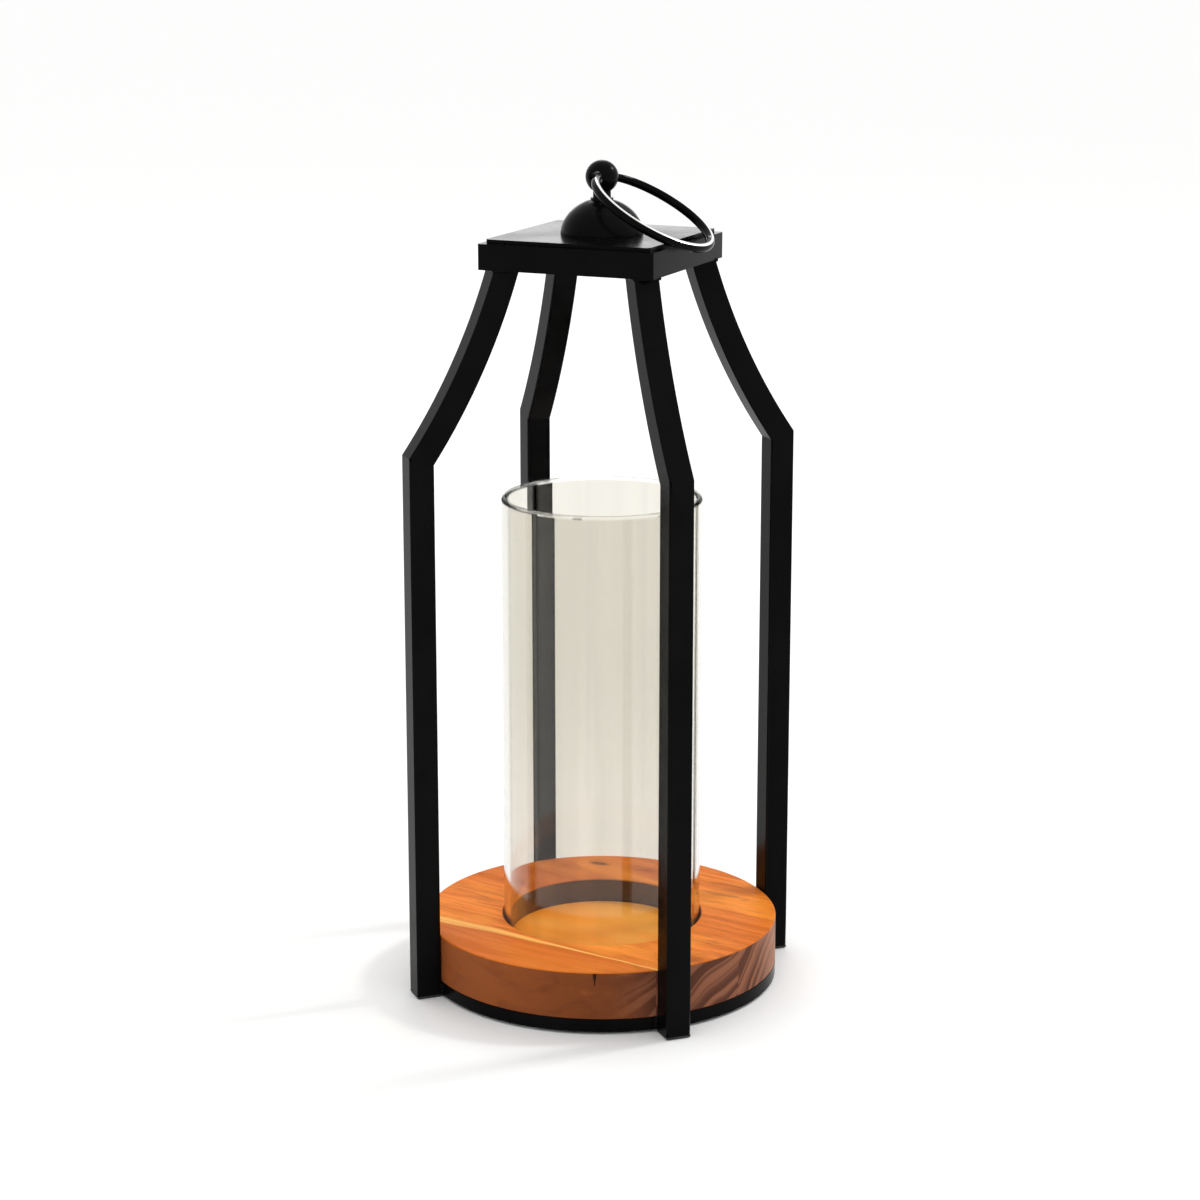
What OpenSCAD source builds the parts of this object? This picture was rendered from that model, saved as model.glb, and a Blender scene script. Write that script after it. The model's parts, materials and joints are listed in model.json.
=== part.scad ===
// Candle lantern: four square-tube legs with mitred knees and bowed-in arms carry a
// square cap with a dome, a drilled ball finial and a swinging ring handle.
// A turned wooden base sits on a steel ring between the legs and holds a glass chimney
// in a round recess.
// Frame: origin on the floor at the lantern's axis, +Z up, cap sides square to X and Y,
// legs on the diagonals, ring handle leaning towards +X. Millimetres.

/* [Frame tubes] */
// Outer width of the square tube
bar_w = 12.7; // [10:0.1:12.8]
// Wall of the square tube
bar_wall = 1.5; // [1:0.1:2.5]
// Distance from the lantern's axis to the middle of a leg
leg_r = 96.5; // [96.4:0.1:104]
// Height of the knee, on the middle line of the tube
knee_z = 277.5; // [262:0.5:300]
// Lean of the arm from vertical, just above the knee
knee_lean = 35; // [31:0.5:37]
// Radius that the arm is bowed to
arm_bow_r = 325; // [300:5:400]
// Thickness of the plug's flange under each leg
foot_t = 1.5; // [1:0.1:3]

/* [Cap] */
// Height of the cap frame's underside above the floor
cap_z = 369; // [350:0.5:375]
// Outer side of the square cap frame
cap_side = 92; // [88:1:98]
// Radius of the cap frame's ground upright corners
cap_corner_r = 1.5; // [0.5:0.1:2]
// Side of the square plate on the frame
plate_side = 86; // [80:1:92]
// Thickness of the plate
plate_t = 2; // [1.5:0.1:4]
// Corner radius of the plate
plate_corner_r = 2; // [1:0.5:5]

/* [Dome and finial] */
// Radius of the dome at its foot
dome_r = 20.4; // [17:0.1:26]
// Height of the dome
dome_h = 17.5; // [16:0.5:21]
// Sheet thickness of the dome
dome_t = 1.2; // [0.8:0.1:2]
// Radius of the flat top that the finial stands on
dome_top_r = 6; // [5.8:0.1:7]
// Radius of the ball
ball_r = 8.1; // [7:0.1:9]
// Height of the ball's centre above the plate
ball_up = 27.9; // [27:0.1:34]
// Radius of the cross hole through the ball
eye_r = 3.4; // [3.3:0.05:4]

/* [Ring handle] */
// Radius of the handle, at the middle of its wire
handle_r = 31.5; // [30:0.5:40]
// Radius of the handle's wire
wire_r = 2.25; // [2:0.05:2.3]

/* [Base] */
// Radius of the wooden base
wood_r = 90; // [88:0.5:90]
// Thickness of the wooden base
wood_t = 24.5; // [20:0.5:30]
// Eased edge of the wooden base
wood_ease = 0.5; // [0.4:0.1:2]
// Radius of the recess in its top
recess_r = 51.5; // [51.5:0.1:56]
// Depth of the recess
recess_d = 12; // [6:0.5:16]
// Outer radius of the steel ring under the wood
ring_r = 90; // [86:0.5:90]
// Width of the ring's bar, across
ring_w = 10; // [9:0.5:16]
// Height of the ring's bar
ring_h = 6.5; // [5:0.5:10]

/* [Glass chimney] */
// Outer radius of the glass
glass_r = 50.5; // [45:0.1:50.8]
// Wall of the glass
glass_wall = 3; // [2:0.1:4]
// Height of the glass
glass_h = 232; // [150:1:240]

/* [Hidden] */

$fn = 96;

// Sides of a hexagon nut
HEX = 6;

// Directions of the legs about the axis
FRONT_LEFT = 225;
FRONT_RIGHT = 315;
REAR_RIGHT = 45;
REAR_LEFT = 135;

// Heights that follow from the driving dimensions
ring_z = foot_t;
wood_z = ring_z + ring_h;
wood_top_z = wood_z + wood_t;
floor_z = wood_top_z - recess_d;
plate_z = cap_z + bar_w;
dome_z = plate_z + plate_t;
ball_z = dome_z + ball_up;

// The glass stands this far above the recess floor, and the handle this far off the plate
rest_gap = 0.02;

// Arm: the bow's centre along the leg's radius, and the lean where it meets the cap. The
// swept tube runs sweep_spare degrees past both ends and is trimmed back
bow_centre_r = leg_r + arm_bow_r * cos(knee_lean);
bow_centre_z = knee_z + arm_bow_r * sin(knee_lean);
cap_lean = asin(sin(knee_lean) - (cap_z - knee_z) / arm_bow_r);
sweep_spare = 2.5;

// A block large enough to trim any tube end
trim_size = 320;
// Cutters reach this far past the faces they cut through
overcut = 1;

// Foot plug: spigot inside the tube
spigot_h = 14;
spigot_wall = 1.5;
flange_chamfer = 0.5;

// Weld pads that join the steel ring to the legs
pad_w = 9;
pad_depth = 5;

// Flat-head screws from below: ring, then wood
screw_count = 4;
screw_circle_r = ring_r - ring_w / 2;
screw_shank_r = 2.1;
screw_thread_r = 1.75;
screw_head_r = 3.9;
screw_head_h = 2;
screw_sunk = 0.2;
screw_len = 18;
screw_slot_w = 0.9;
screw_slot_d = 1;

// Finial stud and its fastening under the plate
stud_r = 2.5;
stud_hole_r = 2.6;
stud_spare = 1.5;
washer_r = 5;
washer_t = 1;
nut_flats = 8;
nut_h = 4;

// Finial profile
collar_r = 5.6;
collar_h = 1.2;
neck_r = 4.4;
eye_lip = 0.4;

// Dome profile: a superellipse, a little more pointed than a true ellipse
dome_power = 1.9;
dome_steps = 22;

// Height on a superellipse of half-width a and height b, at radius r
function dome_at(r, a, b) = b * pow(1 - pow(r / a, dome_power), 1 / dome_power);

dome_flat_h = dome_at(dome_top_r, dome_r, dome_h);
finial_z = dome_z + dome_flat_h;

// Handle: how far below level it leans when it rests on the plate's edge
lean_reach = norm([plate_side / 2, ball_up]);
handle_lean = atan(2 * ball_up / plate_side) - asin((wire_r + rest_gap) / lean_reach);

// Square ring, the section of the frame tube
module tube_section() {
    difference() {
        square(bar_w, center = true);
        square(bar_w - 2 * bar_wall, center = true);
    }
}

// Everything above the mitre plane at the knee, in the plane of a leg standing on +X
module above_mitre() {
    translate([leg_r, 0, knee_z])
        rotate([0, -knee_lean / 2, 0])
            translate([0, 0, trim_size / 2])
                cube(trim_size, center = true);
}

// Straight lower tube of a leg
module post(direction) {
    color("#1c1c1e")
        rotate([0, 0, direction])
            difference() {
                translate([leg_r, 0, foot_t])
                    linear_extrude(height = knee_z + bar_w - foot_t)
                        tube_section();
                above_mitre();
            }
}

// Bowed upper tube of a leg, mitred at the knee and cut level under the cap
module arm(direction) {
    color("#1c1c1e")
        rotate([0, 0, direction])
            intersection() {
                translate([bow_centre_r, 0, bow_centre_z])
                    rotate([90, 0, 0])
                        rotate([0, 0, 180 + cap_lean - sweep_spare])
                            rotate_extrude(angle = knee_lean - cap_lean + 2 * sweep_spare)
                                translate([arm_bow_r, 0])
                                    tube_section();
                above_mitre();
                translate([0, 0, cap_z - trim_size / 2])
                    cube(trim_size, center = true);
            }
}

// Plastic plug in the foot of a leg
module foot_plug(direction) {
    inner = bar_w - 2 * bar_wall;
    color("#111111")
        rotate([0, 0, direction])
            translate([leg_r, 0, 0])
                difference() {
                    union() {
                        translate([-bar_w / 2, -bar_w / 2, flange_chamfer])
                            cube([bar_w, bar_w, foot_t - flange_chamfer]);
                        translate([0, 0, flange_chamfer / 2])
                            cube([bar_w - 2 * flange_chamfer, bar_w - 2 * flange_chamfer,
                                flange_chamfer], center = true);
                        translate([-inner / 2, -inner / 2, foot_t])
                            cube([inner, inner, spigot_h]);
                    }
                    translate([0, 0, foot_t + spigot_h / 2 + spigot_wall / 2])
                        cube([inner - 2 * spigot_wall, inner - 2 * spigot_wall,
                            spigot_h], center = true);
                }
}

// Square block with round upright corners
module rounded_block(side, corner_r, h) {
    inset = side / 2 - corner_r;
    translate([-side / 2, -inset, 0])
        cube([side, 2 * inset, h]);
    translate([-inset, -side / 2, 0])
        cube([2 * inset, side, h]);
    for (x = [-inset, inset], y = [-inset, inset])
        translate([x, y, 0])
            cylinder(r = corner_r, h = h);
}

// One side of the cap frame, mitred at both ends; side 0 faces the front
module cap_rail(side) {
    half = cap_side / 2;
    color("#1c1c1e")
        rotate([0, 0, 90 * side])
            intersection() {
                translate([-half, bar_w / 2 - half, cap_z + bar_w / 2])
                    rotate([90, 0, 90])
                        linear_extrude(height = cap_side)
                            tube_section();
                translate([0, 0, cap_z])
                    linear_extrude(height = bar_w)
                        polygon([[-half, -half], [half, -half], [0, 0]]);
                translate([0, 0, cap_z])
                    rounded_block(cap_side, cap_corner_r, bar_w);
            }
}

// Thin square plate on the cap frame
module top_plate() {
    color("#1c1c1e")
        translate([0, 0, plate_z])
            difference() {
                rounded_block(plate_side, plate_corner_r, plate_t);
                translate([0, 0, -overcut])
                    cylinder(r = stud_hole_r, h = plate_t + 2 * overcut);
            }
}

// Spun dome: an open shell with a flat, drilled top
module dome() {
    step = 1 / dome_steps;
    a = dome_r - dome_t;
    b = dome_flat_h - dome_t;
    outer = [for (i = [0:dome_steps])
        let (r = dome_top_r + (dome_r - dome_top_r) * sin(90 * i * step))
            [r, dome_at(r, dome_r, dome_h)]];
    inner = [for (i = [dome_steps:-1:0])
        let (r = dome_top_r + (a - dome_top_r) * sin(90 * i * step))
            [r, b * dome_at(r, a, 1) / dome_at(dome_top_r, a, 1)]];
    color("#1c1c1e")
        translate([0, 0, dome_z])
            rotate_extrude()
                polygon(concat([[stud_hole_r, dome_flat_h]], outer, inner,
                    [[stud_hole_r, b]]));
}

// Turned finial: ball with a cross hole, neck, collar and threaded stud
module finial() {
    stud_end_z = plate_z - washer_t - nut_h - stud_spare;
    lip_y = sqrt(ball_r * ball_r - eye_r * eye_r);
    color("#1c1c1e")
        difference() {
            union() {
                translate([0, 0, ball_z])
                    sphere(r = ball_r);
                translate([0, 0, finial_z])
                    cylinder(r = neck_r, h = ball_z - finial_z);
                translate([0, 0, finial_z])
                    cylinder(r = collar_r, h = collar_h);
                translate([0, 0, stud_end_z])
                    cylinder(r = stud_r, h = finial_z + collar_h - stud_end_z);
            }
            translate([0, 0, ball_z])
                rotate([90, 0, 0])
                    cylinder(r = eye_r, h = 4 * ball_r, center = true);
            for (turn = [90, -90])
                translate([0, 0, ball_z])
                    rotate([turn, 0, 0])
                        translate([0, 0, lip_y - eye_lip])
                            cylinder(r1 = eye_r, r2 = eye_r + 2 * eye_lip, h = 2 * eye_lip);
        }
}

// Plain washer under the plate
module finial_washer() {
    color("silver")
        translate([0, 0, plate_z - washer_t])
            difference() {
                cylinder(r = washer_r, h = washer_t);
                translate([0, 0, -overcut])
                    cylinder(r = stud_hole_r, h = washer_t + 2 * overcut);
            }
}

// Hexagon nut on the stud
module finial_nut() {
    corner_r = nut_flats / 2 / cos(180 / HEX);
    color("silver")
        translate([0, 0, plate_z - washer_t - nut_h])
            difference() {
                cylinder(r = corner_r, h = nut_h, $fn = HEX);
                translate([0, 0, -overcut])
                    cylinder(r = stud_r, h = nut_h + 2 * overcut);
            }
}

// Round wire ring through the ball's cross hole, leaning on the plate's edge
module ring_handle() {
    color("#1c1c1e")
        translate([0, 0, ball_z])
            rotate([0, handle_lean, 0])
                translate([handle_r, 0, 0])
                    rotate_extrude()
                        translate([handle_r, 0])
                            circle(r = wire_r);
}

// One copy for each base screw, on the screw circle
module at_screws() {
    for (i = [0:screw_count - 1])
        rotate([0, 0, 360 / screw_count * i])
            translate([screw_circle_r, 0, ring_z])
                children();
}

// Rolled steel ring with a weld pad at each leg
module base_ring() {
    pad_end = leg_r - bar_w / 2;
    color("#1c1c1e")
        difference() {
            union() {
                translate([0, 0, ring_z])
                    rotate_extrude()
                        translate([ring_r - ring_w, 0])
                            square([ring_w, ring_h]);
                for (direction = [FRONT_LEFT, FRONT_RIGHT, REAR_RIGHT, REAR_LEFT])
                    rotate([0, 0, direction])
                        translate([pad_end - pad_depth, -pad_w / 2, ring_z])
                            cube([pad_depth, pad_w, ring_h]);
            }
            at_screws() {
                translate([0, 0, -overcut])
                    cylinder(r = screw_shank_r, h = ring_h + 2 * overcut);
                cylinder(r1 = screw_head_r + screw_sunk, r2 = screw_shank_r,
                    h = screw_head_h + screw_sunk);
            }
        }
}

// Flat-head wood screws through the ring into the base
module base_screws() {
    color("silver")
        at_screws()
            difference() {
                union() {
                    translate([0, 0, screw_sunk])
                        cylinder(r1 = screw_head_r, r2 = screw_thread_r, h = screw_head_h);
                    translate([0, 0, screw_sunk])
                        cylinder(r = screw_thread_r, h = screw_len);
                }
                for (turn = [0, 90])
                    rotate([0, 0, turn])
                        translate([0, 0, screw_sunk + screw_slot_d / 2])
                            cube([screw_head_r, screw_slot_w, screw_slot_d], center = true);
            }
}

// Turned wooden disc with the round recess for the glass
module wood_base() {
    e = wood_ease;
    pilot_h = screw_sunk + screw_len - ring_h;
    color("#c8783a")
        difference() {
            rotate_extrude()
                polygon([[0, wood_z], [wood_r - e, wood_z], [wood_r, wood_z + e],
                    [wood_r, wood_top_z - e], [wood_r - e, wood_top_z],
                    [recess_r + e, wood_top_z], [recess_r, wood_top_z - e],
                    [recess_r, floor_z], [0, floor_z]]);
            at_screws()
                translate([0, 0, ring_h - overcut])
                    cylinder(r = screw_thread_r, h = pilot_h + overcut);
        }
}

// Open glass cylinder with rounded ends, standing in the recess
module glass_chimney() {
    end_r = glass_wall / 2;
    mid_r = glass_r - end_r;
    color("#dfe8e4", 0.35)
        translate([0, 0, floor_z + rest_gap])
            rotate_extrude()
                union() {
                    translate([mid_r - end_r, end_r])
                        square([glass_wall, glass_h - glass_wall]);
                    translate([mid_r, end_r])
                        circle(r = end_r);
                    translate([mid_r, glass_h - end_r])
                        circle(r = end_r);
                }
}

post(FRONT_LEFT);  // post_front_left
post(FRONT_RIGHT);  // post_front_right
post(REAR_RIGHT);  // post_rear_right
post(REAR_LEFT);  // post_rear_left
arm(FRONT_LEFT);  // arm_front_left
arm(FRONT_RIGHT);  // arm_front_right
arm(REAR_RIGHT);  // arm_rear_right
arm(REAR_LEFT);  // arm_rear_left
foot_plug(FRONT_LEFT);  // foot_plug_front_left
foot_plug(FRONT_RIGHT);  // foot_plug_front_right
foot_plug(REAR_RIGHT);  // foot_plug_rear_right
foot_plug(REAR_LEFT);  // foot_plug_rear_left
cap_rail(0);  // cap_rail_front
cap_rail(1);  // cap_rail_right
cap_rail(2);  // cap_rail_rear
cap_rail(3);  // cap_rail_left
top_plate();
dome();
finial();
finial_washer();
finial_nut();
ring_handle();
base_ring();
base_screws();
wood_base();
glass_chimney();
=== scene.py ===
"""Looks of the candle lantern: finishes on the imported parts, weld beads, and a plain studio around them."""

import json
import math
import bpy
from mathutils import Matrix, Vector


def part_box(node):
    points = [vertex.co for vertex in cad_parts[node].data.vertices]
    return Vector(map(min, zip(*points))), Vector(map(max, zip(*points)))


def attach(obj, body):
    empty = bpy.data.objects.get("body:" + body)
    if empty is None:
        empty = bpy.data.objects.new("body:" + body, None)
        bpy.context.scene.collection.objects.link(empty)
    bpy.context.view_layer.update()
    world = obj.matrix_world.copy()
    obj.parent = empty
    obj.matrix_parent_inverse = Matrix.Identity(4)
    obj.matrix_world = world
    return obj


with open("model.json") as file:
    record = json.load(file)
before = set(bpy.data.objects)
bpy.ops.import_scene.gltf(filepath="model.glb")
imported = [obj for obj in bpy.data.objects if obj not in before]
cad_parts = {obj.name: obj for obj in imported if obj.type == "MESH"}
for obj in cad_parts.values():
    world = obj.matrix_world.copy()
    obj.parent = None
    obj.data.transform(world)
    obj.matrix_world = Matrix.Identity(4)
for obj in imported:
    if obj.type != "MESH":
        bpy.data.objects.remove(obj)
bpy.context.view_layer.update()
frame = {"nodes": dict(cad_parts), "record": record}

from types import SimpleNamespace

import bmesh
import bpy
from mathutils import Vector

nodes = frame["nodes"]
WOOD_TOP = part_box("wood_base")[1].z
GLASS_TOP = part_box("glass_chimney")[1].z
CAP_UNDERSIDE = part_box("cap_rail_front")[0].z

MM = 0.001

X, Y, Z = range(3)
ALONG_X = (1, 0, 0)
ALONG_Y = (0, 1, 0)
UP = (0, 0, 1)
LEGS = ("front_left", "front_right", "rear_right", "rear_left")
SIDES = {"front": ALONG_X, "right": ALONG_Y, "rear": ALONG_X, "left": ALONG_Y}

# Rounded edges, in metres, and the edges that get them
TUBE_EDGE = 0.9 * MM
PLATE_EDGE = 0.5 * MM
RING_EDGE = 0.6 * MM
WOOD_EDGE = 0.3 * MM
PLUG_EDGE = 0.3 * MM
BEVEL_STEPS = 3
SHARP_ANGLE = math.radians(32)
WELD_POINTS_WITHIN = 0.001 * MM
ALIGNED = 0.6
ANY_WAY = -1.0

# Weld beads: their radius, sides and ripple, and how they sit in their corners
RING_BEAD_R = 1.5 * MM
CAP_BEAD_R = 1.0 * MM
BEAD_SIDES = 10
BEAD_TIP = 0.35
RIPPLE = 0.16
RIPPLE_TURN = 2.1
SWELL_TURN = 0.37
RING_BEAD_POINTS = 14
CAP_BEAD_POINTS = (12, 13, 12)
BEAD_INWARD = 0.6 * MM
BEAD_ASIDE = 0.1 * MM
BEAD_SHORT = 0.2 * MM
CAP_BEAD_IN = 1 * MM
NEAR_TOP = 0.01 * MM

# Where a noise, about 0.5 on average, starts and ends a soft or a firmer change
SOFT = (0.3, 0.7)
FIRM = (0.35, 0.65)

# Black finishes, linear colours
COAT_IOR = 1.12
POWDER_TONES = ((0.0014, 0.0014, 0.0015), (0.0030, 0.0030, 0.0031))
DUST_TONE = (0.05, 0.048, 0.044)
DUST_MOST = 0.3
ENAMEL_TONES = ((0.0012, 0.0012, 0.0013), (0.0028, 0.0028, 0.0029))
PLASTIC_TONES = ((0.012, 0.012, 0.012), (0.045, 0.043, 0.04))

# Ring handle: its wire, and the direction on the wire's round where a highlight is painted as bright metal
WIRE_R = 2.25 * MM
HIGHLIGHT_UP = 0.985
HIGHLIGHT_OUT = 0.17
HIGHLIGHT_EDGE = (0.92, 0.965)
HIGHLIGHT_WANDER = 0.05
HIGHLIGHT_AT_EYE = 0.05
EYE_SPAN = (9 * MM, 2 * MM)
PAINTED_HIGHLIGHT_TONE = (0.86, 0.86, 0.85)

# Zinc plate
ZINC_TONES = ((0.56, 0.59, 0.63), (0.68, 0.65, 0.58))

# Wood: which way the grain runs, the glued strips' width and where one joint lies, and the tree's rings
GRAIN_TURN = math.radians(-10)
STRIP_W = 46 * MM
JOINT_ACROSS = -11 * MM
JOINT_HALF = (0.012, 0.004)
RING_STEP = 4.5 * MM
PITH_ACROSS = (55 * MM, 95 * MM)
PITH_DOWN = (30 * MM, 60 * MM)
RING_BEND = 26 * MM

# Wood: how often its marks repeat in a metre, along the grain, across it and up
BENDS = (9, 18, 18)
STREAKS = (6, 95, 95)
FIBRES = (45, 1400, 1400)
PORES = (120, 1900, 1900)
FIGURE = (24, 70, 70)
CLOUDS = (14, 30, 30)
PORE_EDGE = (0.66, 0.76)

# Wood: the sapwood streak, the knot, the drying check in the side, and the recess
SAP_ACROSS = -56 * MM
SAP_SPAN = (-60 * MM, 40 * MM)
SAP_HALF = (4.6 * MM, 1.3 * MM)
SAP_DRIFT = 10 * MM
MARK_WANDER = 3.2 * MM
RED_FADE = 4 * MM
KNOT = (-32 * MM, 70 * MM, 0)
KNOT_SQUEEZE = (0.45, 1, 0)
KNOT_EDGE = (4 * MM, 1.5 * MM)
CHECK_TURN = math.radians(-68.8)
CHECK_LENGTH = 8 * MM
CHECK_HALF = (0.003, 0.012)
CHECK_WANDER = 0.0064
RECESS_EDGE = (60 * MM, 55 * MM)
RECESS_DEPTHS = (4 * MM, 8 * MM)

# Wood: linear colours of the top, the turned side and its end grain, with a painted sheen at one end, and the
# recess, with painted shade on its wall and painted light on its floor
GOLDEN = (0.98, 0.325, 0.036)
BRIGHT = (0.90, 0.240, 0.022)
WARM = (0.58, 0.125, 0.011)
BROWN = (0.200, 0.052, 0.015)
KNOT_TONE = (0.060, 0.022, 0.012)
SAPWOOD = (0.98, 0.49, 0.12)
SIDE_TONES = ((0.255, 0.070, 0.019), (0.115, 0.034, 0.013))
SIDE_DEEP = (0.105, 0.030, 0.012)
SIDE_BRIGHT = (0.36, 0.100, 0.024)
END_TONES = ((0.25, 0.097, 0.052), (0.095, 0.035, 0.021))
END_LATE = (0.120, 0.050, 0.030)
END_PAINTED_SHEEN = (0.66, 0.34, 0.23)
CHECK_TONE = (0.020, 0.008, 0.005)
RECESS_WALL_PAINTED_SHADE = ((0.115, 0.070, 0.062), (0.075, 0.046, 0.042))
RECESS_FLOOR_PAINTED_LIGHT = ((1.0, 0.36, 0.05), (1.0, 0.46, 0.09))

# Glass: linear tints, the heights between which the film deepens, and the rim, made whiter and partly
# see-through as a painted highlight
FILM_LOW = (0.86, 0.825, 0.775)
FILM_HIGH = (0.755, 0.735, 0.675)
FILM_SPAN = (0.05, 0.17)
DRAWN_TINT = (0.68, 0.66, 0.605)
DRAW_LINES = (70, 70, 2.5)
SMEARS = (30, 30, 12)
RIM_PAINTED_HIGHLIGHT = (1.0, 1.0, 0.99)
RIM_DEPTHS = (2.4 * MM, 1.6 * MM)
RIM_HIGHLIGHT_CLEAR = 0.65
GLASS_IOR = 1.5
GLINT = (0.6, 0.6, 0.6, 1)
SHINE_THROUGH = (0.97, 0.965, 0.94, 1)

# Studio: the floor, the room's light, and each softbox's place, aim, width, height and watts
FLOOR_HALF = 14
FLOOR_TONES = ((0.91, 0.91, 0.905), (0.94, 0.94, 0.935))
ROOM_STRENGTH = 1.06
SOFTBOXES = {
    "key": ((1.3, 1.3, 1.7), (0, 0, 0.2), 0.3, 0.3, 17),
    "panel": ((-1.22, 2.74, 0.78), (0, 0, 0.38), 1.8, 0.66, 4),
    "strip": ((-0.86, 1.96, 1.68), (0, 0, 0.38), 1.0, 0.12, 4),
}

# Camera: around the lantern, at the height it was seen from
CAMERA_TURN = math.radians(23.5)
CAMERA_LEFT = 0.97 * MM
CAMERA_AWAY = 1.480
CAMERA_UP = 0.5663
AIM_UP = 0.1984
LENS_MM = 90.5
SENSOR_MM = 36
FARTHEST = 100


class Graph:
    """A material's node tree, with short ways to add nodes and join them."""

    def __init__(self, name):
        self.material = bpy.data.materials.new(name)
        self.material.use_nodes = True
        self.tree = self.material.node_tree
        self.tree.nodes.clear()

    def fill(self, socket, value):
        if isinstance(value, bpy.types.NodeSocket):
            self.tree.links.new(value, socket)
        else:
            socket.default_value = value

    def add(self, kind, inputs=None, out=0, **settings):
        """One output of a new node with these settings, its inputs set to values or joined to sockets."""
        node = self.tree.nodes.new("ShaderNode" + kind)
        for key, value in settings.items():
            setattr(node, key, value)
        for key, value in (inputs or {}).items():
            self.fill(node.inputs[key], value)
        return node.outputs[out]

    def math(self, operation, a, b=0.0):
        return self.add("Math", {0: a, 1: b}, operation=operation)

    def plus(self, a, b):
        return self.math("ADD", a, b)

    def minus(self, a, b):
        return self.math("SUBTRACT", a, b)

    def times(self, a, b):
        return self.math("MULTIPLY", a, b)

    def unsigned(self, a):
        return self.math("ABSOLUTE", a)

    def vector(self, operation, a, b=(0, 0, 0)):
        return self.add("VectorMath", {0: a, 1: b}, operation=operation)

    def dot(self, a, b):
        return self.add("VectorMath", {0: a, 1: b}, out="Value", operation="DOT_PRODUCT")

    def length(self, a):
        return self.add("VectorMath", {0: a}, out="Value", operation="LENGTH")

    def part(self, vector, axis):
        return self.add("SeparateXYZ", {0: vector}, out=axis)

    def at(self):
        return self.add("TexCoord", out="Object")

    def normal(self):
        return self.add("NewGeometry", out="Normal")

    def noise(self, at, scale=1.0, detail=3.0, roughness=0.55, distortion=0.0, out=0):
        """Noise with a number of marks a metre, or with one number for each way."""
        if isinstance(scale, tuple):
            at = self.add("Mapping", {"Vector": at, "Scale": scale})
            scale = 1.0
        sockets = {"Vector": at, "Scale": scale, "Detail": detail, "Roughness": roughness}
        return self.add("TexNoise", {**sockets, "Distortion": distortion}, out=out)

    def span(self, value, low, high, to=(0.0, 1.0), smooth=True):
        """value, mapped from low..high to the pair in to and held there."""
        kind = "SMOOTHSTEP" if smooth else "LINEAR"
        sockets = {"Value": value, "From Min": low, "From Max": high, "To Min": to[0], "To Max": to[1]}
        return self.add("MapRange", sockets, interpolation_type=kind)

    def mix(self, share, a, b):
        """Colour a towards colour b by share."""
        node = self.tree.nodes.new("ShaderNodeMix")
        node.data_type = "RGBA"
        factor, first, second = node.inputs[0], node.inputs[6], node.inputs[7]
        self.fill(factor, share)
        for socket, colour in ((first, a), (second, b)):
            self.fill(socket, (*colour, 1) if isinstance(colour, tuple) else colour)
        return node.outputs[2]

    def bump(self, height, strength, distance, under=None):
        sockets = {"Strength": strength, "Distance": distance, "Height": height}
        if under is not None:
            sockets["Normal"] = under
        return self.add("Bump", sockets)

    def finish(self, shader):
        output = self.tree.nodes.new("ShaderNodeOutputMaterial")
        self.tree.links.new(shader, output.inputs["Surface"])
        return self.material

    def coat(self, colour, gloss, normal, **more):
        """Finish as one opaque surface; more holds further inputs of its shader."""
        inputs = {"Base Color": colour, "Roughness": gloss, "Normal": normal, **more}
        return self.finish(self.add("BsdfPrincipled", inputs))


def powder_coat():
    """Satin black powder coat: fine orange peel, cloudy gloss and a little dust on what faces up."""
    g = Graph("satin_black_powder_coat")
    at = g.at()
    peel = g.noise(at, scale=850, detail=2)
    waves = g.noise(at, scale=45, detail=2)
    cloud = g.noise(at, scale=22, detail=4)
    specks = g.noise(at, scale=520, detail=2, roughness=0.4)
    facing_up = g.span(g.part(g.normal(), Z), 0.5, 1.0)
    dust = g.times(facing_up, g.span(specks, 0.60, 0.76, to=(0, DUST_MOST)))
    colour = g.mix(dust, g.mix(g.span(cloud, *SOFT), *POWDER_TONES), DUST_TONE)
    gloss = g.plus(g.span(cloud, *SOFT, to=(0.17, 0.25)), g.times(dust, 0.2))
    slow = g.bump(waves, strength=0.03, distance=0.4 * MM)
    normal = g.bump(peel, strength=0.05, distance=0.05 * MM, under=slow)
    return g.coat(colour, gloss, normal, IOR=COAT_IOR)


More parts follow.
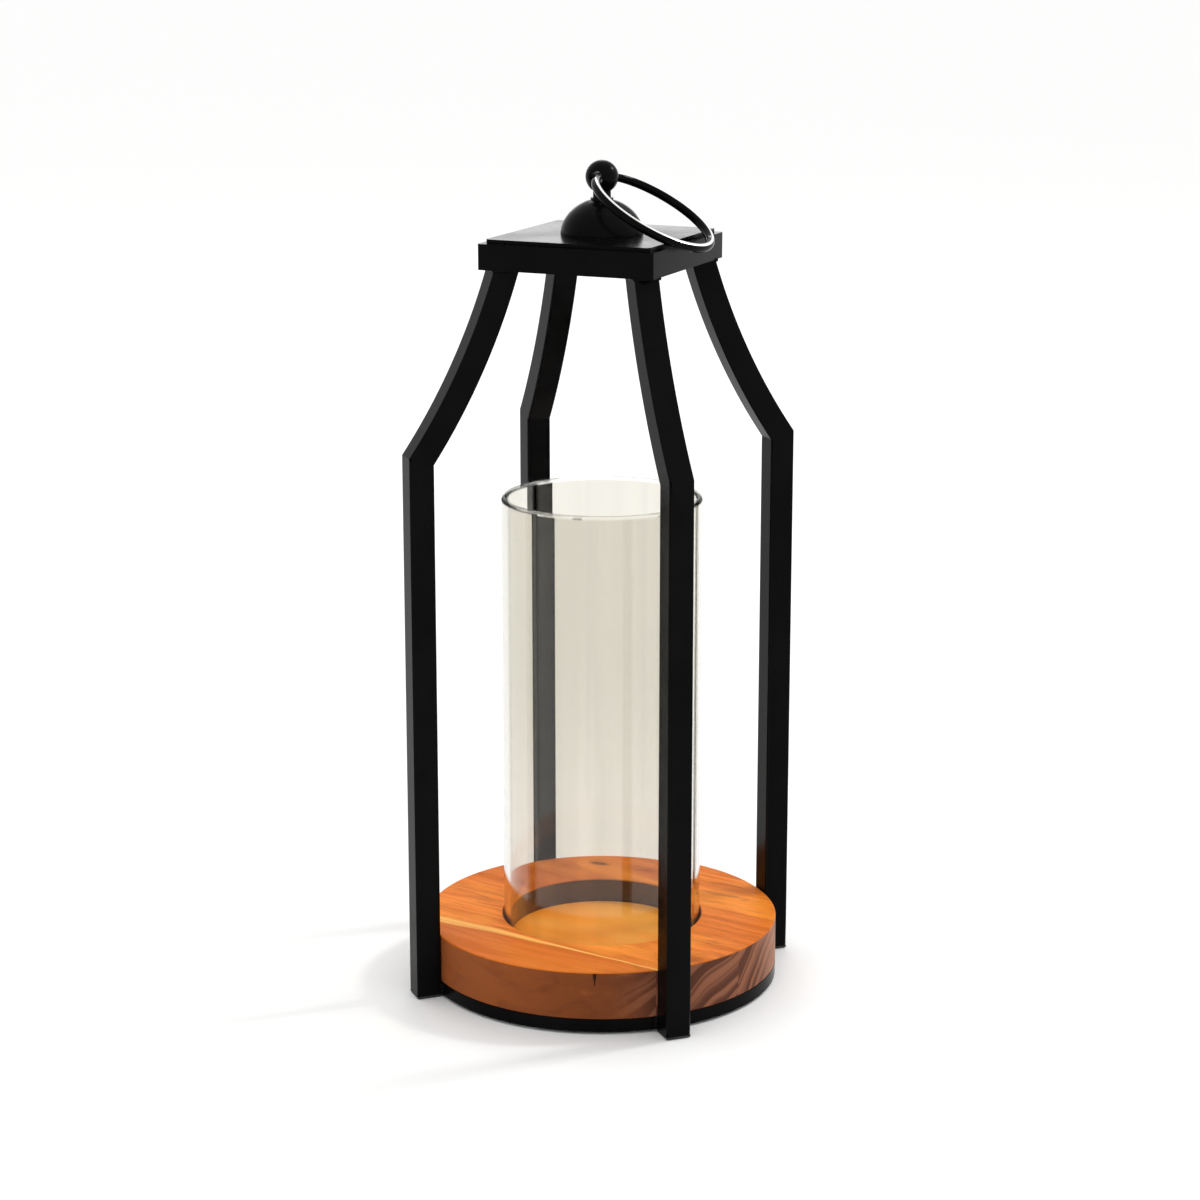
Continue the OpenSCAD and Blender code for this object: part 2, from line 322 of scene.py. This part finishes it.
def wire_enamel():
    """Glossy black enamel on round wire, with a highlight painted as bright metal along the ring's upper
    edge.
    """
    low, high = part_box("ring_handle")
    middle = (low + high) / 2
    lean = math.atan2((high.z - low.z) / 2 - WIRE_R, (high.x - low.x) / 2 - WIRE_R)
    ring_r = (high.y - low.y) / 2 - WIRE_R
    facing = (math.sin(lean), 0, math.cos(lean))
    g = Graph("gloss_black_enamel")
    at = g.at()
    from_middle = g.vector("SUBTRACT", at, tuple(middle))
    over = g.dot(from_middle, facing)
    outward = g.minus(g.length(g.vector("CROSS_PRODUCT", from_middle, facing)), ring_r)
    peel = g.noise(at, scale=700, detail=2)
    cloud = g.noise(at, scale=60, detail=4)

    # How squarely the surface faces the direction of the painted highlight, 1 at its middle
    squarely = g.plus(g.times(over, HIGHLIGHT_UP), g.times(outward, HIGHLIGHT_OUT))
    squarely = g.plus(g.math("DIVIDE", squarely, WIRE_R), g.times(g.minus(cloud, 0.5), HIGHLIGHT_WANDER))
    # The painted highlight is wider near the ball's eye
    at_eye = g.span(g.part(at, X), *EYE_SPAN, to=(0.0, HIGHLIGHT_AT_EYE))
    painted_highlight = g.span(g.plus(squarely, at_eye), *HIGHLIGHT_EDGE)

    # Painted highlight: bright, metallic, slightly rougher colour along the wire's upper edge
    colour = g.mix(painted_highlight, g.mix(g.span(cloud, *FIRM), *ENAMEL_TONES), PAINTED_HIGHLIGHT_TONE)
    gloss = g.plus(g.span(cloud, *SOFT, to=(0.06, 0.12)), g.times(painted_highlight, 0.2))
    normal = g.bump(peel, strength=0.05, distance=0.03 * MM)
    return g.coat(colour, gloss, normal, Metallic=painted_highlight, IOR=COAT_IOR)


def moulded_plastic():
    """Matte black moulded plastic with a fine spark-eroded grain and pale scuffs."""
    g = Graph("matte_black_plastic")
    at = g.at()
    grain = g.noise(at, scale=2600, detail=2)
    scuffs = g.noise(at, scale=(60, 900, 300), detail=4)
    colour = g.mix(g.span(scuffs, 0.62, 0.75), *PLASTIC_TONES)
    gloss = g.span(scuffs, 0.3, 0.75, to=(0.48, 0.62))
    return g.coat(colour, gloss, g.bump(grain, strength=0.25, distance=0.05 * MM))


def zinc_plate():
    """Bright zinc plating: bluish and straw-coloured clouds over fine tool marks."""
    g = Graph("zinc_plated_steel")
    at = g.at()
    cloud = g.noise(at, scale=260)
    marks = g.noise(at, scale=(300, 300, 5200))
    colour = g.mix(g.span(cloud, *FIRM), *ZINC_TONES)
    gloss = g.span(marks, *SOFT, to=(0.24, 0.42))
    return g.coat(colour, gloss, g.bump(marks, strength=0.2, distance=0.02 * MM), Metallic=1.0)


def turn_to_grain(g, vector):
    return g.add("VectorRotate", {"Vector": vector, "Angle": -GRAIN_TURN}, rotation_type="Z_AXIS")


def wood_marks(g):
    """The wood's marks as sockets: its strips, rings, streaks, fibres, pores, figure and clouds."""
    at = g.at()
    turned = turn_to_grain(g, at)
    along = g.part(turned, X)
    across = g.part(turned, Y)
    height = g.part(turned, Z)

    # Each strip is cut from another place in the tree
    strip_at = g.math("DIVIDE", g.minus(across, JOINT_ACROSS), STRIP_W)
    strip = g.math("FLOOR", strip_at)
    chance = g.add("TexWhiteNoise", {"W": strip}, out="Color", noise_dimensions="1D")
    pith_across = g.span(g.part(chance, Y), 0, 1, to=PITH_ACROSS, smooth=False)
    pith_down = g.span(g.part(chance, Z), 0, 1, to=PITH_DOWN, smooth=False)

    # Distance from the strip's own pith line, bent by slow noise, gives the rings
    bend = g.vector("SUBTRACT", g.noise(turned, BENDS, detail=2, out="Color"), (0.5, 0.5, 0.5))
    bend = g.vector("MULTIPLY", bend, (0, RING_BEND, RING_BEND))
    side = g.plus(g.minus(g.minus(across, g.times(strip, STRIP_W)), pith_across), g.part(bend, Y))
    down = g.plus(g.plus(height, pith_down), g.part(bend, Z))
    squared = g.plus(g.times(side, side), g.times(down, down))
    rings = g.math("DIVIDE", g.math("SQRT", squared), RING_STEP)
    slow = g.add("TexNoise", {"W": rings, "Scale": 0.60, "Detail": 2.0}, noise_dimensions="1D")

    streaks = g.noise(turned, STREAKS, detail=5, roughness=0.62, distortion=0.4)
    return SimpleNamespace(
        at=at,
        along=along,
        across=across,
        height=height,
        strip_at=strip_at,
        tone=g.part(chance, X),
        late=g.span(g.math("PINGPONG", rings, 0.5), 0.08, 0.45),
        bands=g.span(slow, 0.42, 0.56),
        streaks=streaks,
        wander=g.minus(streaks, 0.5),
        fibres=g.noise(turned, FIBRES),
        pores=g.noise(turned, PORES, detail=1),
        figure=g.noise(turned, FIGURE, detail=4, distortion=1.4),
        clouds=g.noise(turned, CLOUDS, detail=2),
    )


def wood_top(g, wood):
    """The oiled top: gold to brown, with a sapwood streak, glued joints, a knot and the recess's floor."""
    ring_share = g.times(wood.late, g.span(wood.bands, 0, 1, to=(0.25, 0.9)))
    top = g.mix(g.span(wood.streaks, 0.36, 0.66), BRIGHT, WARM)
    top = g.mix(g.times(ring_share, 0.55), top, WARM)
    top = g.mix(g.span(wood.clouds, 0.42, 0.70, to=(0.0, 0.75)), top, GOLDEN)
    top = g.mix(g.span(wood.figure, 0.56, 0.74, to=(0.0, 0.45)), top, BROWN)
    top = g.mix(g.span(wood.tone, 0.0, 1.0, to=(0.0, 0.4)), top, WARM)
    top = g.mix(g.span(wood.fibres, 0.40, 0.75, to=(0.0, 0.30)), top, BROWN)
    top = g.mix(g.span(wood.pores, *PORE_EDGE, to=(0.0, 0.6)), top, BROWN)

    # The wood in front of the sapwood is redder
    top = g.mix(g.span(wood.across, SAP_ACROSS, SAP_ACROSS - RED_FADE, to=(0.0, 0.6)), top, WARM)
    drift = g.times(g.minus(wood.clouds, 0.5), SAP_DRIFT)
    from_sap = g.unsigned(g.plus(g.minus(wood.across, SAP_ACROSS), drift))
    sap_half = g.span(wood.along, *SAP_SPAN, to=SAP_HALF, smooth=False)
    sap = g.math("DIVIDE", g.plus(from_sap, g.times(wood.wander, MARK_WANDER)), sap_half)
    sap = g.span(sap, 1.15, 0.45, to=(0.0, 0.9))
    top = g.mix(g.times(sap, g.span(wood.streaks, 0.35, 0.5, to=(0.6, 1.0))), top, SAPWOOD)

    from_joint = g.unsigned(g.minus(g.math("FRACT", g.plus(wood.strip_at, 0.5)), 0.5))
    top = g.mix(g.span(from_joint, *JOINT_HALF, to=(0.0, 0.3)), top, BROWN)
    from_knot = g.length(g.vector("MULTIPLY", g.vector("SUBTRACT", wood.at, KNOT), KNOT_SQUEEZE))
    from_knot = g.plus(from_knot, g.times(wood.wander, MARK_WANDER))
    top = g.mix(g.span(from_knot, *KNOT_EDGE, to=(0, 0.8)), top, KNOT_TONE)

    # The recess's floor is painted paler: painted light where the glass and the recess's wall shade it
    shallow, deep = RECESS_DEPTHS
    painted_light_in_recess = g.times(g.span(wood.height, WOOD_TOP - shallow, WOOD_TOP - deep), 0.85)
    return g.mix(painted_light_in_recess, top, g.mix(g.span(wood.clouds, *FIRM), *RECESS_FLOOR_PAINTED_LIGHT))


def drying_check(g, wood):
    """How far inside the narrow check in the side's top edge a point is, 0 outside it."""
    foot = WOOD_TOP - CHECK_LENGTH
    turn = g.math("ARCTAN2", g.part(wood.at, Y), g.part(wood.at, X))
    half = g.span(wood.height, foot, WOOD_TOP, to=CHECK_HALF)
    half = g.plus(half, g.times(wood.wander, CHECK_WANDER))
    inside = g.span(g.minus(half, g.unsigned(g.minus(turn, CHECK_TURN))), 0.0, 0.003)
    return g.times(inside, g.span(wood.height, foot, foot + CHECK_LENGTH * 0.2))


def wood_side(g, wood, normal, check):
    """The turned side: darker with oil, slanting bands in its end grain with a painted sheen at one end, and
    the recess's wall, darkened with painted shade.
    """
    side = g.mix(g.span(wood.figure, 0.45, 0.70, to=(0.0, 0.40)), *SIDE_TONES)
    side = g.mix(g.span(wood.along, -10 * MM, 50 * MM, to=(0.0, 0.55)), side, SIDE_DEEP)
    side = g.mix(g.span(wood.streaks, 0.5, 0.7, to=(0.0, 0.35)), side, SIDE_BRIGHT)

    # End grain shows at both ends of the strips; one side of one end is painted paler, a painted sheen in
    # place of its reflection
    end = g.mix(wood.bands, *END_TONES)
    end = g.mix(g.times(wood.late, 0.12), end, END_LATE)
    one_end = g.span(wood.along, 60 * MM, 75 * MM)
    one_side = g.span(wood.across, 0.0, 30 * MM, to=(0.0, 0.3))
    end = g.mix(g.times(one_end, one_side), end, END_PAINTED_SHEEN)
    facing = g.vector("ABSOLUTE", turn_to_grain(g, normal))
    side = g.mix(g.span(g.part(facing, X), 0.55, 0.85), side, end)
    side = g.mix(g.times(check, 0.95), side, CHECK_TONE)

    # The recess's wall is painted darker and greyer than the side: painted shade
    from_axis = g.length(g.vector("MULTIPLY", wood.at, (1, 1, 0)))
    wall = g.mix(g.span(wood.fibres, *SOFT), *RECESS_WALL_PAINTED_SHADE)
    return g.mix(g.span(from_axis, *RECESS_EDGE), side, wall)


def oiled_wood():
    """Oiled orange-brown hardwood, glued from strips, with rings that run through top, side and end grain."""
    g = Graph("oiled_hardwood")
    wood = wood_marks(g)
    normal = g.normal()
    check = drying_check(g, wood)
    upright = g.span(g.part(normal, Z), 0.80, 0.45)
    colour = g.mix(upright, wood_top(g, wood), wood_side(g, wood, normal, check))
    gloss = g.span(wood.streaks, *SOFT, to=(0.46, 0.56))
    gloss = g.plus(gloss, g.span(wood.pores, *PORE_EDGE, to=(0.0, 0.2)))
    grain = g.minus(g.times(wood.fibres, 0.5), g.span(wood.pores, 0.62, 0.76))
    grain = g.minus(grain, g.times(check, 3.0))
    return g.coat(colour, gloss, g.bump(grain, strength=0.35, distance=0.06 * MM), IOR=COAT_IOR)


def clear_glass():
    """Clear drawn glass with faint draw lines, a smoky film that deepens upwards, and a few dull smears.

    Lamps shine through it, and its rim is made whiter and partly see-through as a painted highlight.
    """
    g = Graph("clear_glass")
    at = g.at()
    height = g.part(at, Z)
    smears = g.noise(at, SMEARS, detail=4)
    drawn = g.noise(at, DRAW_LINES)
    deep, shallow = RIM_DEPTHS
    rim = g.span(height, GLASS_TOP - deep, GLASS_TOP - shallow)
    tint = g.mix(g.span(height, *FILM_SPAN), FILM_LOW, FILM_HIGH)
    tint = g.mix(g.span(drawn, 0.42, 0.66, to=(0.0, 0.35)), tint, DRAWN_TINT)
    # Painted highlight: the rim is whiter than the wall
    tint = g.mix(rim, tint, RIM_PAINTED_HIGHLIGHT)
    sockets = {
        "Base Color": tint,
        "Specular Tint": GLINT,
        "Roughness": g.span(smears, 0.55, 0.8, to=(0.0, 0.03)),
        "IOR": GLASS_IOR,
        "Transmission Weight": 1.0,
    }
    glass = g.add("BsdfPrincipled", sockets)
    clear = g.add("BsdfTransparent", {"Color": SHINE_THROUGH})
    in_shadow = g.add("LightPath", out="Is Shadow Ray")
    in_soft_light = g.add("LightPath", out="Is Diffuse Ray")
    # The rim is partly see-through for every ray, as part of its painted highlight
    share = g.math("MAXIMUM", g.math("MAXIMUM", in_shadow, in_soft_light), g.times(rim, RIM_HIGHLIGHT_CLEAR))
    return g.finish(g.add("MixShader", {0: share, 1: glass, 2: clear}))


def studio_floor():
    """Pale matte paper."""
    g = Graph("pale_paper")
    colour = g.mix(g.noise(g.at(), scale=300), *FLOOR_TONES)
    return g.finish(g.add("BsdfPrincipled", {"Base Color": colour, "Roughness": 0.8}))


def surface_group(along):
    """Geometry nodes that join a part's faces, smooth its curved ones and mark the edges to round."""
    group = bpy.data.node_groups.new("surface", "GeometryNodeTree")
    for way in ("INPUT", "OUTPUT"):
        group.interface.new_socket("Geometry", in_out=way, socket_type="NodeSocketGeometry")
    link = group.links.new

    def new(kind, operation=None):
        node = group.nodes.new(kind)
        if operation:
            node.operation = operation
        return node

    merge = new("GeometryNodeMergeByDistance")
    merge.inputs["Distance"].default_value = WELD_POINTS_WITHIN
    angle = new("GeometryNodeInputMeshEdgeAngle")
    sharp = new("FunctionNodeCompare", "GREATER_THAN")
    sharp.inputs[1].default_value = SHARP_ANGLE
    shade = new("GeometryNodeSetMeshNormal")
    shade.mode = "SHARPNESS"
    shade.inputs["Remove Custom"].default_value = True
    shade.inputs["Face Sharpness"].default_value = False
    ends = new("GeometryNodeInputMeshEdgeVertices")
    run = new("ShaderNodeVectorMath", "SUBTRACT")
    unit = new("ShaderNodeVectorMath", "NORMALIZE")
    lined = new("ShaderNodeVectorMath", "DOT_PRODUCT")
    lined.inputs[1].default_value = along or (0, 0, 0)
    size = new("ShaderNodeMath", "ABSOLUTE")
    enough = new("FunctionNodeCompare", "GREATER_THAN")
    enough.inputs[1].default_value = ALIGNED if along else ANY_WAY
    both = new("FunctionNodeBooleanMath", "AND")
    store = new("GeometryNodeStoreNamedAttribute")
    store.data_type = "FLOAT"
    store.domain = "EDGE"
    store.inputs["Name"].default_value = "bevel_weight_edge"

    link(new("NodeGroupInput").outputs[0], merge.inputs["Geometry"])
    link(merge.outputs[0], shade.inputs["Mesh"])
    link(angle.outputs["Unsigned Angle"], sharp.inputs[0])
    link(sharp.outputs[0], shade.inputs["Edge Sharpness"])
    link(ends.outputs["Position 2"], run.inputs[0])
    link(ends.outputs["Position 1"], run.inputs[1])
    link(run.outputs[0], unit.inputs[0])
    link(unit.outputs[0], lined.inputs[0])
    link(lined.outputs["Value"], size.inputs[0])
    link(size.outputs[0], enough.inputs[0])
    link(sharp.outputs[0], both.inputs[0])
    link(enough.outputs[0], both.inputs[1])
    link(shade.outputs[0], store.inputs["Geometry"])
    link(both.outputs[0], store.inputs["Value"])
    link(store.outputs[0], new("NodeGroupOutput").inputs[0])
    return group


surfaces = {}


def soften(node, width, along=None):
    """Round a part's sharp edges, or only those that run along a direction."""
    if along not in surfaces:
        surfaces[along] = surface_group(along)
    part = nodes[node]
    part.modifiers.new("surface", "NODES").node_group = surfaces[along]
    bevel = part.modifiers.new("rounded_edges", "BEVEL")
    bevel.limit_method = "WEIGHT"
    bevel.width = width
    bevel.segments = BEVEL_STEPS
    bevel.harden_normals = True


def bead(name, path, radius, paint):
    """A rippled weld bead along a path of points, painted over with the frame."""
    last = len(path) - 1
    bm = bmesh.new()
    rows = []
    for i, point in enumerate(path):
        ahead = (path[min(i + 1, last)] - path[max(i - 1, 0)]).normalized()
        guide = Vector(UP) if abs(ahead.z) < 0.8 else Vector(ALONG_X)
        first = ahead.cross(guide).normalized()
        second = ahead.cross(first)
        wide = radius * (1 + RIPPLE * math.sin(RIPPLE_TURN * i) * math.sin(SWELL_TURN * i + 1))
        if i in (0, last):
            wide *= BEAD_TIP
        row = []
        for k in range(BEAD_SIDES):
            turn = math.tau * k / BEAD_SIDES
            row.append(bm.verts.new(point + wide * (math.cos(turn) * first + math.sin(turn) * second)))
        rows.append(row)
    for low, high in zip(rows, rows[1:]):
        for k in range(BEAD_SIDES):
            after = (k + 1) % BEAD_SIDES
            bm.faces.new((low[k], low[after], high[after], high[k]))
    bm.faces.new(rows[0][::-1])
    bm.faces.new(rows[-1])
    bmesh.ops.recalc_face_normals(bm, faces=bm.faces)
    for face in bm.faces:
        face.smooth = True
    mesh = bpy.data.meshes.new(name)
    bm.to_mesh(mesh)
    bm.free()
    mesh.materials.append(paint)
    obj = bpy.data.objects.new(name, mesh)
    bpy.context.scene.collection.objects.link(obj)
    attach(obj, "frame")


def line(start, end, count):
    return [start.lerp(end, i / (count - 1)) for i in range(count)]


def leg_frame(leg):
    """A leg's middle on the floor, its outward direction, the direction across it, and half its width."""
    low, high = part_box("post_" + leg)
    middle = Vector(((low.x + high.x) / 2, (low.y + high.y) / 2, 0))
    outward = middle.normalized()
    across = Vector((-outward.y, outward.x, 0))
    return middle, outward, across, (high.x - low.x) / math.sqrt(2) / 2


def ring_welds(leg, paint):
    """Two upright beads in the corners between a leg and the steel ring."""
    low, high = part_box("base_ring")
    middle, outward, across, half = leg_frame(leg)
    for side, word in ((-1, "a"), (1, "b")):
        foot = middle - outward * (half + BEAD_INWARD) + across * side * (half + BEAD_ASIDE)
        start = foot + Vector((0, 0, low.z + BEAD_SHORT))
        end = foot + Vector((0, 0, high.z - BEAD_SHORT))
        bead(f"ring_weld_{leg}_{word}", line(start, end, RING_BEAD_POINTS), RING_BEAD_R, paint)


def cap_weld(leg, paint):
    """A bead around the outer three sides of an arm's top, under the cap frame."""
    arm_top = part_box("arm_" + leg)[1].z
    _, outward, across, half = leg_frame(leg)
    tops = [v.co for v in nodes["arm_" + leg].data.vertices if v.co.z > arm_top - NEAR_TOP]
    reach = [point.dot(outward) for point in tops]
    inner = outward * (min(reach) + CAP_BEAD_IN)
    outer = outward * max(reach)
    aside = across * half
    corners = [inner - aside, outer - aside, outer + aside, inner + aside]
    for corner in corners:
        corner.z = CAP_UNDERSIDE - BEAD_SHORT
    path = corners[:1]
    for start, end, count in zip(corners, corners[1:], CAP_BEAD_POINTS):
        path += line(start, end, count)[1:]
    bead("cap_weld_" + leg, path, CAP_BEAD_R, paint)


def paint_parts():
    """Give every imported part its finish, and return the frame's paint for the beads."""
    finishes = {
        "black_iron": powder_coat(),
        "black_wire": wire_enamel(),
        "foot_plastic": moulded_plastic(),
        "zinc_steel": zinc_plate(),
        "oiled_wood": oiled_wood(),
        "clear_glass": clear_glass(),
    }
    for subpart in frame["record"]["subparts"]:
        for slot in nodes[subpart["node"]].material_slots:
            slot.material = finishes[subpart["material_slot"]]
    return finishes["black_iron"]


def round_parts():
    """Round the edges that a real tube, plate, ring or turned disc has rounded."""
    for leg in LEGS:
        soften("post_" + leg, TUBE_EDGE, along=UP)
        soften("arm_" + leg, TUBE_EDGE, along=UP)
        soften("foot_plug_" + leg, PLUG_EDGE)
    for side, along in SIDES.items():
        soften("cap_rail_" + side, TUBE_EDGE, along=along)
    soften("top_plate", PLATE_EDGE)
    soften("base_ring", RING_EDGE)
    soften("wood_base", WOOD_EDGE)


def add_floor():
    """A pale floor, wide enough to fill the picture."""
    mesh = bpy.data.meshes.new("floor")
    corners = [(x * FLOOR_HALF, y * FLOOR_HALF, 0) for x, y in ((-1, -1), (1, -1), (1, 1), (-1, 1))]
    mesh.from_pydata(corners, [], [(0, 1, 2, 3)])
    mesh.materials.append(studio_floor())
    floor = bpy.data.objects.new("floor", mesh)
    bpy.context.scene.collection.objects.link(floor)


def softbox(name, place, aim, width, height, watts):
    """A large rectangular area light at place, turned to aim."""
    lamp = bpy.data.lights.new(name, "AREA")
    lamp.shape = "RECTANGLE"
    lamp.size = width
    lamp.size_y = height
    lamp.energy = watts
    obj = bpy.data.objects.new(name, lamp)
    obj.location = place
    obj.rotation_euler = (Vector(aim) - Vector(place)).to_track_quat("-Z", "Y").to_euler()
    bpy.context.scene.collection.objects.link(obj)


def add_light():
    """A soft white room, a small softbox high on the right, and a low panel and a high strip behind."""
    world = bpy.data.worlds.new("studio")
    world.use_nodes = True
    background = world.node_tree.nodes["Background"]
    background.inputs["Color"].default_value = (1, 1, 1, 1)
    background.inputs["Strength"].default_value = ROOM_STRENGTH
    bpy.context.scene.world = world
    for name, setup in SOFTBOXES.items():
        softbox(name, *setup)


def add_camera():
    """The camera in front and to the right, looking a little down at the lantern."""
    camera = bpy.data.cameras.new("camera")
    camera.sensor_width = SENSOR_MM
    camera.lens = LENS_MM
    camera.clip_end = FARTHEST
    obj = bpy.data.objects.new("camera", camera)
    towards = Vector((-math.sin(CAMERA_TURN), math.cos(CAMERA_TURN), 0))
    left = Vector((-towards.y, towards.x, 0)) * CAMERA_LEFT
    obj.location = left - towards * CAMERA_AWAY + Vector((0, 0, CAMERA_UP))
    aim = left + Vector((0, 0, AIM_UP))
    obj.rotation_euler = (aim - obj.location).to_track_quat("-Z", "Y").to_euler()
    bpy.context.scene.collection.objects.link(obj)
    bpy.context.scene.camera = obj


def show_true_colours():
    """Plain display colours, so that white paper is white."""
    view = bpy.context.scene.view_settings
    view.view_transform = "Standard"
    view.look = "None"


def write_sizes():
    """Brings the view layer up to date."""
    bpy.context.view_layer.update()


paint = paint_parts()
round_parts()
for leg in LEGS:
    ring_welds(leg, paint)
    cap_weld(leg, paint)
add_floor()
add_light()
add_camera()
show_true_colours()
write_sizes()
